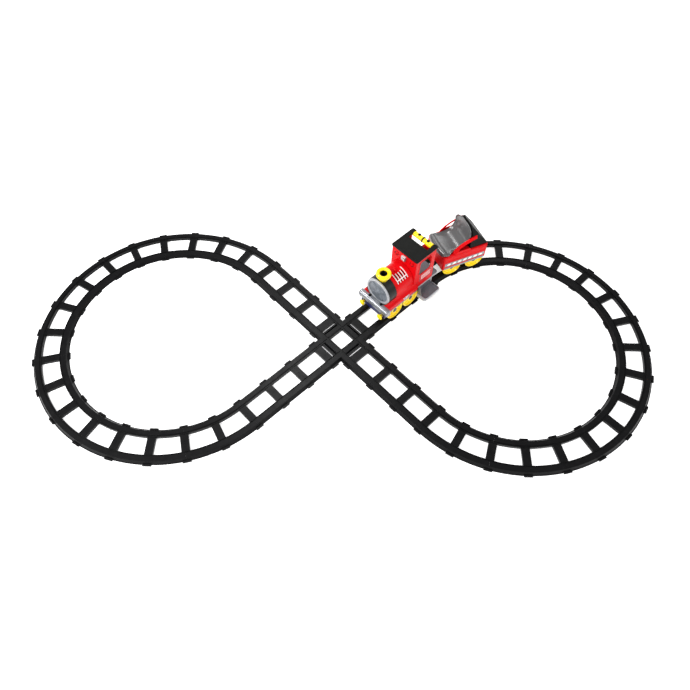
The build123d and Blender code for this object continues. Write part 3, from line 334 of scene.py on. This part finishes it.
def build_funnel():
    """The cup with its thick rounded mouth, and a black cup down its bore that is painted shade."""
    middle = Matrix.Translation((FUNNEL_X, 0, 0))
    bm = bmesh.new()
    profile = [
        (27, 434), (36, 434), (37, 440), (39, 448), (45, 460), (53, 474), (59, 484), (62.5, 493), (63, 501),
        (61.5, 509), (57, 515.5), (50, 518), (43, 517.5), (37, 514), (32, 508), (29, 501), (28, 494),
        (27, 480),
    ]
    lathe(bm, profile, middle, steps=96)
    cup = add("funnel_cup", bm, LOCO, "locomotive", "yellow")
    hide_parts("funnel")
    bm = bmesh.new()
    # the black cup in the bore paints the shade down the funnel
    shade_liner = [(0, 436), (28.6, 436), (29.6, 500), (28.4, 507), (25, 507.5), (23.4, 503), (23.2, 446), (0, 446)]
    lathe(bm, shade_liner, middle)
    add("funnel_bore_painted_shade", bm, LOCO, "locomotive", "roof_black")


def build_front_end():
    """Domed buffers, two bolts on top of the beam and the rivets on its face."""
    buffer_x, buffer_y, buffer_z = 328, 104, 130
    bolt_x, bolt_y = 385, 66
    rivet_y, rivet_heights = 140, (176, 200)
    bm = bmesh.new()
    profile = [
        (0, -31), (12, -31), (12, -15), (16, -13), (25, -11), (27, -8), (27, -4), (25, 0), (20, 3.4),
        (12, 5.8), (0, 7),
    ]
    for side in (-1, 1):
        here = Matrix.Translation((buffer_x, side * buffer_y, buffer_z)) @ FACE_FORWARD
        lathe(bm, profile, here, steps=48)
    heads = add("buffer_heads", bm, LOCO, "locomotive", "yellow")
    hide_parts("buffers")
    bm = bmesh.new()
    for side in (-1, 1):
        on_top = Matrix.Translation((bolt_x, side * bolt_y, BEAM_TOP - 0.5))
        lathe(bm, [(0, 0), (11, 0), (11, 7), (9, 10), (0, 11)], on_top, steps=6)
        lathe(bm, [(0, 0), (13, 0), (13, 2), (0, 2)], on_top, steps=32)
    add("beam_bolts", bm, LOCO, "locomotive", "roof_black", bevel=0.8)
    bm = bmesh.new()
    for side in (-1, 1):
        for z in rivet_heights:
            here = Matrix.Translation((BEAM_FRONT - 0.4, side * rivet_y, z)) @ FACE_FORWARD
            rivet(bm, here, 4.0, 2.0)
    add("beam_rivets", bm, LOCO, "locomotive", "dark_grey")


build_smokebox_door()
build_funnel()
build_front_end()

# ---- locomotive: body ----
def build_skirt_trim():
    """The grey stripe along the bottom of each skirt, and a thin seam line above it."""
    stripe_height, seam_low, seam_high = 13, SKIRT_TOP - 7, SKIRT_TOP - 4
    bm = bmesh.new()
    for side in (-1, 1):
        y0, y1 = both_sides(side, SKIRT_HALF - 1, SKIRT_HALF + 1.6)
        box(bm, BODY_FRONT + 1, BODY_REAR - 1, y0, y1, SKIRT_BOTTOM - 0.5, SKIRT_BOTTOM + stripe_height)
    add("skirt_stripes", bm, LOCO, "locomotive", "silver", bevel=0.8)
    bm = bmesh.new()
    for side in (-1, 1):
        y0, y1 = both_sides(side, SKIRT_HALF - 1, SKIRT_HALF + 0.9)
        box(bm, BODY_FRONT + 6, BODY_REAR - 6, y0, y1, seam_low, seam_high)
    add("skirt_ribs", bm, LOCO, "locomotive", "red", bevel=0.4)


def build_boiler_bands():
    """Slim raised bands round the boiler, from flank to flank over the crown."""
    band_places = (508, 688)
    bm = bmesh.new()
    section = [(-5, -1), (-5, 1.2), (-3.5, 2), (3.5, 2), (5, 1.2), (5, -1)]
    for x in band_places:
        rows = []
        for step in range(49):
            angle = math.radians(-90 + 180 * step / 48)
            across, up = math.sin(angle), math.cos(angle)
            ring = []
            for along, raised in section:
                radius = BOILER_RADIUS + raised
                ring.append(bm.verts.new((x + along, across * radius, BOILER_Z + up * radius)))
            rows.append(ring)
        skin(bm, rows)
    add("boiler_bands", bm, LOCO, "locomotive", "red")


SUNK = 0.6                                                     # how far raised trim reaches into the surface


def plate(bm, outline, thickness, matrix):
    """A flat shape (x, y) raised by a thickness along the frame's Z."""
    skin(bm, [[bm.verts.new(matrix @ Vector((x, y, z))) for x, y in outline] for z in (-SUNK, thickness)])


def side_plane(x, z, side, out):
    """A frame on the train's side: its X runs back, its Y up and its Z out."""
    return Matrix(((1, 0, 0, x), (0, 0, side, side * out), (0, 1, 0, z), (0, 0, 0, 1)))


def build_emblem():
    """An abstract badge on each skirt: a shield outline with a plain lozenge inside."""
    badge_x, badge_z = 606, 199
    shield = [(-34, 12), (34, 12), (30, -6), (18, -14), (0, -18), (-18, -14), (-30, -6)]
    inner = [(x * 0.86, y * 0.80) for x, y in shield]
    lozenge = [(-16, -1), (0, -8), (16, -1), (0, 6)]
    rim, field, mark = bmesh.new(), bmesh.new(), bmesh.new()
    for side in (-1, 1):
        here = side_plane(badge_x, badge_z, side, SKIRT_HALF)
        plate(rim, shield, 0.9, here)
        plate(field, inner, 1.3, here)
        plate(mark, lozenge, 1.8, here)
    add("skirt_badge_rim", rim, LOCO, "locomotive", "white")
    add("skirt_badge_field", field, LOCO, "locomotive", "silver")
    add("skirt_badge_mark", mark, LOCO, "locomotive", "white")


def ring_outline(width, height, radius, steps=6):
    """A rectangle with rounded corners."""
    points = []
    for cx, cy, start in ((1, 1, 0), (-1, 1, 90), (-1, -1, 180), (1, -1, 270)):
        for step in range(steps + 1):
            angle = math.radians(start + 90 * step / steps)
            points.append((cx * (width / 2 - radius) + radius * math.cos(angle),
                           cy * (height / 2 - radius) + radius * math.sin(angle)))
    return points


def frame_strip(bm, outer, inner, thickness, matrix):
    """A flat frame between two outlines of as many points each."""
    rows = []
    for outline, z in ((inner, -SUNK), (outer, -SUNK), (outer, thickness), (inner, thickness)):
        rows.append([bm.verts.new(matrix @ Vector((x, y, z))) for x, y in outline])
    skin(bm, rows + rows[:1], caps=False)


def build_cab_details():
    """Window frames, rivet lines, a framed panel of three louvres on each side, and two knobs in front, each on a
    dark grey disc of painted shade.
    """
    window_x, window_z = 814, 432
    panel_x, panel_z = 838, 292
    louvre_places = (-20, 0, 20)
    roof_line_z, rear_line_x, front_line_y = 532, 925, 126
    roof_line, rear_line, front_line = range(706, 927, 22), range(214, 523, 22), range(290, 435, 24)
    head = (2.4, 1.4)
    eye_y, eye_z = 84, 490
    frames, rivets, louvres, lines = bmesh.new(), bmesh.new(), bmesh.new(), bmesh.new()
    recess_shade, knobs = bmesh.new(), bmesh.new()
    for side in (-1, 1):
        here = side_plane(window_x, window_z, side, CAB_HALF)
        frame_strip(frames, ring_outline(150, 174, 28), ring_outline(136, 160, 22), 2.6, here)
        for x in roof_line:
            rivet(rivets, side_plane(x, roof_line_z, side, CAB_HALF), *head)
        for z in rear_line:
            rivet(rivets, side_plane(rear_line_x, z, side, CAB_HALF), *head)
        low = side_plane(panel_x, panel_z, side, CAB_HALF)
        frame_strip(lines, ring_outline(150, 78, 12), ring_outline(144, 72, 9), 1.2, low)
        for height in louvre_places:
            plate(louvres, [(x, y + height) for x, y in ring_outline(112, 6, 2.9)], 1.6, low)
        for z in front_line:
            rivet(rivets, Matrix.Translation((CAB_FRONT, side * front_line_y, z)) @ FACE_FORWARD, *head)
        eye = Matrix.Translation((CAB_FRONT + 3, side * eye_y, eye_z)) @ FACE_FORWARD
        # a dark grey disc in each red spectacle recess paints its shade
        lathe(recess_shade, [(0, 0), (21.5, 0), (21.5, 1.5), (0, 1.5)], eye, steps=40)
        knob = [(0, 1), (14, 1), (14, 4), (12, 6.4), (8, 7.6), (5, 7.4), (4, 5.2), (0, 4.6)]
        lathe(knobs, knob, eye, steps=40)
    add("cab_window_frames", frames, LOCO, "locomotive", "red", bevel=0.6)
    add("cab_rivets", rivets, LOCO, "locomotive", "red")
    add("cab_panel_lines", lines, LOCO, "locomotive", "silver")
    add("cab_panel_louvres", louvres, LOCO, "locomotive", "white")
    add("spectacle_painted_shade", recess_shade, LOCO, "locomotive", "dark_grey")
    add("spectacle_knobs", knobs, LOCO, "locomotive", "red")


def build_whistle_and_buttons():
    """The whistle's lid and pipes, and the domed sound button in its ring."""
    pipe_pitch, pipe_half, pipe_foot, pipe_top = 11, 3, 488, 514
    bm = bmesh.new()
    box(bm, 679, 698, -20, 20, 519, 524)
    for y in (-pipe_pitch, 0, pipe_pitch):
        box(bm, 676.4, 680, y - pipe_half, y + pipe_half, pipe_foot, pipe_top)
    add("whistle_top", bm, LOCO, "locomotive", "white", bevel=1.2)
    crown = Matrix.Translation((SOUND_BUTTON_X, 0, BOILER_Z + BOILER_RADIUS))
    bm = bmesh.new()
    dome = [(0, -8), (18, -8), (18, 4), (17.2, 6.4), (15, 8.4), (11, 10), (6, 10.8), (0, 11)]
    lathe(bm, dome, crown, steps=48)
    cap = add("sound_button_dome", bm, LOCO, "sound_button", "red")
    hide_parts("sound_button")
    bm = bmesh.new()
    lathe(bm, [(18.8, -3), (23, -3), (23, 1.6), (21.5, 2.6), (20, 2.6), (18.8, 1.6)], crown, steps=48)
    add("sound_button_ring", bm, LOCO, "locomotive", "red")


def build_grips():
    """Two hand grips, half-round sleeves with finger ribs and flared ends, and a collar round each button."""
    bm = bmesh.new()
    start, length, steps = 5.8, 93.0, 60
    button_back, button_y = 4, 48
    rib_from, rib_to, rib_pitch, rib_height = 12.0, 92.0, 12.0, 0.9
    for side in (-1, 1):
        rows = []
        for step in range(steps + 1):
            along = start + length * step / steps
            ribbed = rib_from < along < rib_to
            wave = rib_height * max(0.0, math.cos(2 * math.pi * (along - 14) / rib_pitch)) if ribbed else 0.0
            flare = 1.6 * math.exp(-((along - 96.5) / 2.4) ** 2) + 1.2 * math.exp(-((along - 8) / 2.0) ** 2)
            end = 0.82 if step in (0, steps) else 1.0
            radius = (GRIP_RADIUS - 1.8 + wave + flare) * end
            row = []
            for turn in range(21):
                angle = math.radians(180 * turn / 20)
                back, up = -radius * math.cos(angle), radius * math.sin(angle)
                row.append(bm.verts.new((GRIP_X + back, side * along, GRIP_Z + up)))
            rows.append(row)
        skin(bm, rows)
    sleeves = add("grip_sleeves", bm, LOCO, "locomotive", "yellow", auto=50)
    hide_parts("handle_grips")
    bm = bmesh.new()
    collar = [(8.7, 18), (13.5, 18), (13.5, 26.2), (12.2, 27.4), (9.6, 27.4), (8.7, 26.4)]
    for side in (-1, 1):
        lathe(bm, collar, Matrix.Translation((GRIP_X + button_back, side * button_y, GRIP_Z)), steps=40)
    add("button_collars", bm, LOCO, "locomotive", "roof_black")


def build_footplate_ribs():
    """Anti-slip ribs along each step, and ribs across the deck behind the cab."""
    step_from, step_pitch, step_width, step_ribs = 163, 10, 3.2, 7
    deck_from, deck_pitch, deck_width, deck_ribs, deck_reach = 950, 12, 3, 5, 112
    bm = bmesh.new()
    for side in (-1, 1):
        for index in range(step_ribs):
            near = step_from + step_pitch * index
            y0, y1 = both_sides(side, near, near + step_width)
            box(bm, STEP_FRONT + 24, STEP_REAR - 21, y0, y1, STEP_FLOOR - 0.6, STEP_FLOOR + 1.6)
    for index in range(deck_ribs):
        x = deck_from + deck_pitch * index
        box(bm, x, x + deck_width, -deck_reach, deck_reach, DECK_Z - 0.5, DECK_Z + 1.1)
    add("step_ribs", bm, LOCO, "locomotive", "step_grey", bevel=0.5)


def build_footplate_highlight_edges():
    """Rounded edges in a paler grey that is a painted highlight: one round each step, broadest at its front, and
    one along each side of the deck.
    """
    bm = bmesh.new()
    section = [
        (-0.2, STEP_RIM + 0.6), (0.45, STEP_RIM - 0.6), (0.85, STEP_RIM - 4), (1.0, STEP_RIM - 10),
        (1.0, STEP_RIM - 19), (0.8, STEP_RIM - 22), (-0.2, STEP_RIM - 22),
    ]
    # the edge is widest at the front, where the painted highlight is broadest
    side_width, extra_at_front = 7, 8
    deck_front, deck_rear = STEP_FRONT - 5, 992
    for side in (-1, 1):
        path = [((STEP_FRONT, STEP_INNER), (-1.0, 0.0))]
        for x, start in ((STEP_FRONT + STEP_CORNER, 180), (STEP_REAR - STEP_CORNER, 90)):
            for step in range(7):
                angle = math.radians(start - 15 * step)
                ahead = Vector((math.cos(angle), math.sin(angle)))
                place = Vector((x, STEP_OUTER - STEP_CORNER)) + STEP_CORNER * ahead
                path.append((place, ahead))
        path.append(((STEP_REAR, STEP_INNER), (1.0, 0.0)))
        rows = []
        for (x, y), (out_x, out_y) in path:
            wide = side_width + extra_at_front * max(0.0, -out_x)
            row = []
            for out, z in section:
                row.append(bm.verts.new((x + wide * out * out_x, side * (y + wide * out * out_y), z)))
            rows.append(row)
        skin(bm, rows)
    # the pale grey look paints the highlight on the step's rounded edge
    add("step_edges_painted_highlight", bm, LOCO, "locomotive", "step_grey", look="pale_grey")
    bm = bmesh.new()
    for side in (-1, 1):
        y0, y1 = both_sides(side, DECK_HALF - 3, DECK_HALF + 5)
        box(bm, deck_front, deck_rear, y0, y1, DECK_Z - 6.5, DECK_Z + 2.5)
    # the pale grey look paints the highlight along the deck's edge
    add("deck_edges_painted_highlight", bm, LOCO, "locomotive", "step_grey", bevel=2.5, look="pale_grey")


def build_roof_details():
    """A raised bead round the roof's front panel."""
    panel_x = 768
    bm = bmesh.new()
    here = Matrix.Translation((panel_x, 0, ROOF_TOP))
    frame_strip(bm, ring_outline(132, 250, 16), ring_outline(126, 244, 13), 1.0, here)
    add("roof_panel_bead", bm, LOCO, "locomotive", "roof_black", bevel=0.3)


build_skirt_trim()
build_boiler_bands()
build_emblem()
build_cab_details()
build_whistle_and_buttons()
build_grips()
build_footplate_ribs()
build_footplate_highlight_edges()
build_roof_details()


# ---- wheels ----
def build_wheel_faces():
    """Ten tapered spokes and a hub collar in each wheel's dish."""
    sets = [
        ("front", "front_wheelset", LOCO, LOCO_AXLES[0]), ("rear", "rear_wheelset", LOCO, LOCO_AXLES[1]),
        ("tender_front", "tender_front_wheelset", TENDER, -TENDER_HALF_BASE),
        ("tender_rear", "tender_rear_wheelset", TENDER, TENDER_HALF_BASE),
    ]
    spokes, dish = 10, 129.5
    collar = [(23, 130), (33, 130), (31, 136.4), (29, 138.4), (23, 138.6)]
    for label, body, place, x in sets:
        bm = bmesh.new()
        for side in (-1, 1):
            outward = Matrix.Translation((x, 0, AXLE_Z)) @ Matrix.Rotation(math.radians(-90 * side), 4, "X")
            for spoke in range(spokes):
                turn = outward @ Matrix.Rotation(math.radians(360 / spokes * spoke), 4, "Z")
                rows = []
                for reach, half, top in ((27, 6.0, 137.0), (50, 4.6, 134.6), (73, 5.6, 136.0)):
                    across = [(-half, dish), (-half * 0.55, top), (half * 0.55, top), (half, dish)]
                    rows.append([bm.verts.new(turn @ Vector((reach, y, z))) for y, z in across])
                skin(bm, rows)
            lathe(bm, collar, outward, steps=48)
        add(label + "_wheel_spokes", bm, place, body, "yellow", bevel=0.8)


build_wheel_faces()


# ---- tender ----
def seat_profile():
    """The seat's upper surface as (x, z), from the lip's lower edge to the top of the back."""
    lip = [(-230, 280), (-229.5, 292), (-226, 302), (-219, 307), (-208, 308.4), (-196, 307), (-184, 303.6)]
    pan = [(-166, 300.5), (-130, 299), (-95, 299.5), (-62, 304), (-34, 314), (-10, 330)]
    back = [(9, 352), (22, 380), (29, 412), (33, 446), (36.5, 475), (39, SEAT_TOP)]
    return smooth_line(lip + pan + back, 5)


def ease(value, start, stop):
    """0 before start, 1 after stop, and smooth between."""
    t = max(0.0, min(1.0, (value - start) / (stop - start)))
    return t * t * (3 - 2 * t)


def seat_half(x, z):
    """Half the seat's width at a point of its profile. The back flares out just above the armrests."""
    flare_z, crown_radius = 418.0, 64.0
    if z > flare_z:
        rise = min(1.0, max(0.0, z - SEAT_TOP + crown_radius) / crown_radius)
        flare = 9 * ease(z, flare_z, flare_z + 20)
        return SEAT_HALF + flare - crown_radius * (1 - math.sqrt(max(0.0, 1 - rise * rise)))
    if x > -100:
        return SEAT_HALF
    lip_half, corner_from, corner_length = 141.0, -196.0, 34.0
    into_corner = max(0.0, min(1.0, (corner_from - x) / corner_length))
    corner = 30 * (1 - math.sqrt(max(0.0, 1 - into_corner ** 2)))
    return lip_half - (lip_half - SEAT_HALF) * ease(x, -178, -118) - corner


def build_seat():
    """A moulded bucket: one thick sheet with raised flanks, and a broad lip that turns down at its edges."""
    bm = bmesh.new()
    across, spread = 33, 0.92
    sides_only_z = 330.0
    rows = []
    line = seat_profile()
    for index, point in enumerate(line):
        x, z = point
        before, after = line[max(index - 1, 0)], line[min(index + 1, len(line) - 1)]
        run = (after - before).normalized()
        normal = Vector((-run.y, run.x))
        half = seat_half(x, z)
        is_lip = 1 - ease(x, -178, -126) if z < sides_only_z else 0.0
        row = []
        for step in range(across):
            v = -1 + 2 * step / (across - 1)
            v = math.sin(v * math.pi / 2 * spread) / math.sin(math.pi / 2 * spread)
            edge = max(0.0, abs(v) - 0.70) / 0.30
            lift = 11.0 * edge ** 2 * (1 - is_lip)
            drop = 9.0 * max(0.0, (abs(v) - 0.86) / 0.14) ** 2 * is_lip * ease(z, 280, 303)
            bow = 13.0 * v * v * (1 - ease(x, -232, -150)) if z < sides_only_z else 0.0
            row.append(bm.verts.new((x + normal.x * lift + bow, v * half, z + normal.y * lift - drop)))
        rows.append(row)
    skin(bm, rows, wrap=False, caps=False)
    bmesh.ops.remove_doubles(bm, verts=bm.verts, dist=0.05)
    seat = add("seat_shell", bm, TENDER, "tender", "seat_grey", auto=180)
    thick = seat.modifiers.new("thickness", "SOLIDIFY")
    thick.thickness = 5.5 * MM
    thick.offset = -1
    thick.use_even_offset = True
    roll = seat.modifiers.new("rolled_edge", "BEVEL")
    roll.width = 1.8 * MM
    roll.segments = 3
    roll.limit_method = "ANGLE"
    roll.angle_limit = math.radians(60)
    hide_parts("seat")


build_seat()


def build_tender_bands():
    """Printed-looking bands on the tender's sides: a pale field with plain lozenges over a grey stripe."""
    stripe, field, marks, ribs = bmesh.new(), bmesh.new(), bmesh.new(), bmesh.new()
    first_mark, mark_pitch, mark_count = -156, 52, 7

    def oblong(half, low_edge, high_edge):
        return [(-half, low_edge), (half, low_edge), (half, high_edge), (-half, high_edge)]

    for side in (-1, 1):
        low = side_plane(0, TENDER_BOTTOM, side, TENDER_HALF)
        box(stripe, -200, 200, -0.4, 20, -SUNK, 1.5, low)
        plate(field, oblong(196, 36, 78), 0.9, low)
        for index in range(mark_count):
            x = first_mark + mark_pitch * index
            lozenge = [(x - 20, 50), (x - 6, 70), (x + 18, 66), (x + 22, 56), (x + 8, 42), (x - 14, 44)]
            plate(marks, lozenge, 1.6, low)
        frame_strip(ribs, oblong(200, 30, 84), oblong(196, 34, 80), 1.9, low)
        frame_strip(ribs, oblong(200, 100, 152), oblong(196, 104, 148), 1.2, low)
    add("tender_stripes", stripe, TENDER, "tender", "silver", bevel=0.5)
    add("tender_band_field", field, TENDER, "tender", "silver")
    add("tender_band_marks", marks, TENDER, "tender", "white")
    add("tender_band_frames", ribs, TENDER, "tender", "red", bevel=0.3)


build_tender_bands()


def build_cover_shoulders():
    """Closes the sloping shoulders of the black cover behind the seat."""
    bm = bmesh.new()
    foot_z, tail_z, crown_z = TENDER_TOP + 0.2, TENDER_TOP + 14, SEAT_TOP - 9
    low_z, high_z, slope_from = 431.0, 480.0, 434.0
    lean = math.tan(math.radians(SEAT_LEAN))
    crown_x = COVER_FRONT + (SEAT_TOP - 6 - foot_z) * lean + 14
    tail_slope = (COVER_TAIL - crown_x) / (crown_z - tail_z)
    for side in (-1, 1):
        (low_front, low_back, low_y), (high_front, high_back, high_y) = [
            (COVER_FRONT + 1 + (z - foot_z) * lean, COVER_TAIL - 1 - (z - tail_z) * tail_slope,
             SEAT_HALF - (z - slope_from) * 60 / 65) for z in (low_z, high_z)
        ]
        corners = [
            (low_front, low_y, low_z), (low_back, low_y, low_z), (high_back, high_y, high_z),
            (high_front, high_y, high_z),
        ]
        rows = []
        for out in (-2.5, 0.7):
            rows.append([bm.verts.new((x, side * (y + out * 0.73), z + out * 0.68)) for x, y, z in corners])
        skin(bm, rows)
    add("cover_shoulders", bm, TENDER, "tender", "roof_black", bevel=0.4)


build_cover_shoulders()

# ---- stage: floor, light, camera ----
bpy.ops.mesh.primitive_plane_add(size=60, location=(0, 0, -0.0005))
floor = bpy.context.object
floor.name = "floor"
floor_material = bpy.data.materials.new("floor")
floor_material.use_nodes = True
floor_shader = floor_material.node_tree.nodes["Principled BSDF"]
floor_shader.inputs["Base Color"].default_value = (0.9, 0.9, 0.9, 1)
floor_shader.inputs["Roughness"].default_value = 0.9
floor_shader.inputs["Emission Color"].default_value = (1, 1, 1, 1)
floor_shader.inputs["Emission Strength"].default_value = 0.55
floor.data.materials.append(floor_material)

world = bpy.data.worlds.new("studio")
bpy.context.scene.world = world
world.use_nodes = True
world.node_tree.nodes["Background"].inputs["Color"].default_value = (1, 1, 1, 1)
world.node_tree.nodes["Background"].inputs["Strength"].default_value = 0.42


def softbox(name, place, target, size, power):
    light = bpy.data.lights.new(name, "AREA")
    light.shape = "RECTANGLE"
    light.size, light.size_y = size
    light.energy = power
    lamp = bpy.data.objects.new(name, light)
    bpy.context.scene.collection.objects.link(lamp)
    lamp.location = place
    lamp.rotation_euler = (Vector(target) - Vector(place)).to_track_quat("-Z", "Y").to_euler()


LIGHTS = {
    "key": ((-3.5, -4.5, 6.0), (0.4, 0.4, 0.2), (3.2, 2.4), 320),
    "left": ((-4.6, -1.1, 4.4), (0.4, 0.4, 0.2), (1.0, 1.6), 190),
    "fill": ((5.0, -2.0, 4.0), (0.4, 0.3, 0.2), (2.4, 2.4), 110),
    "top": ((-1.0, 2.8, 5.7), (0.95, 0.85, 0.35), (1.8, 0.7), 120),
    "back": ((1.0, 6.0, 4.5), (0.4, 0.4, 0.3), (5.0, 1.6), 80),
}
for name, (place, target, size, power) in LIGHTS.items():
    softbox(name, place, target, size, power)

AZIMUTH, ELEVATION, ROLL = math.radians(1.58), math.radians(57.94), math.radians(0.14)
TARGET, DISTANCE = Vector((0.029, -0.060, 0.030)), 5.124
away = Vector((
    math.sin(AZIMUTH) * math.cos(ELEVATION), -math.cos(AZIMUTH) * math.cos(ELEVATION), math.sin(ELEVATION)
))
camera = bpy.data.objects.new("camera", bpy.data.cameras.new("camera"))
bpy.context.scene.collection.objects.link(camera)
camera.data.lens = 32.2
camera.data.sensor_width = 36.0
camera.location = TARGET + away * DISTANCE
roll = Matrix.Rotation(ROLL, 3, "Z").to_quaternion()
camera.rotation_euler = ((-away).to_track_quat("-Z", "Y") @ roll).to_euler()
bpy.context.scene.camera = camera
bpy.context.scene.view_settings.view_transform = "Standard"
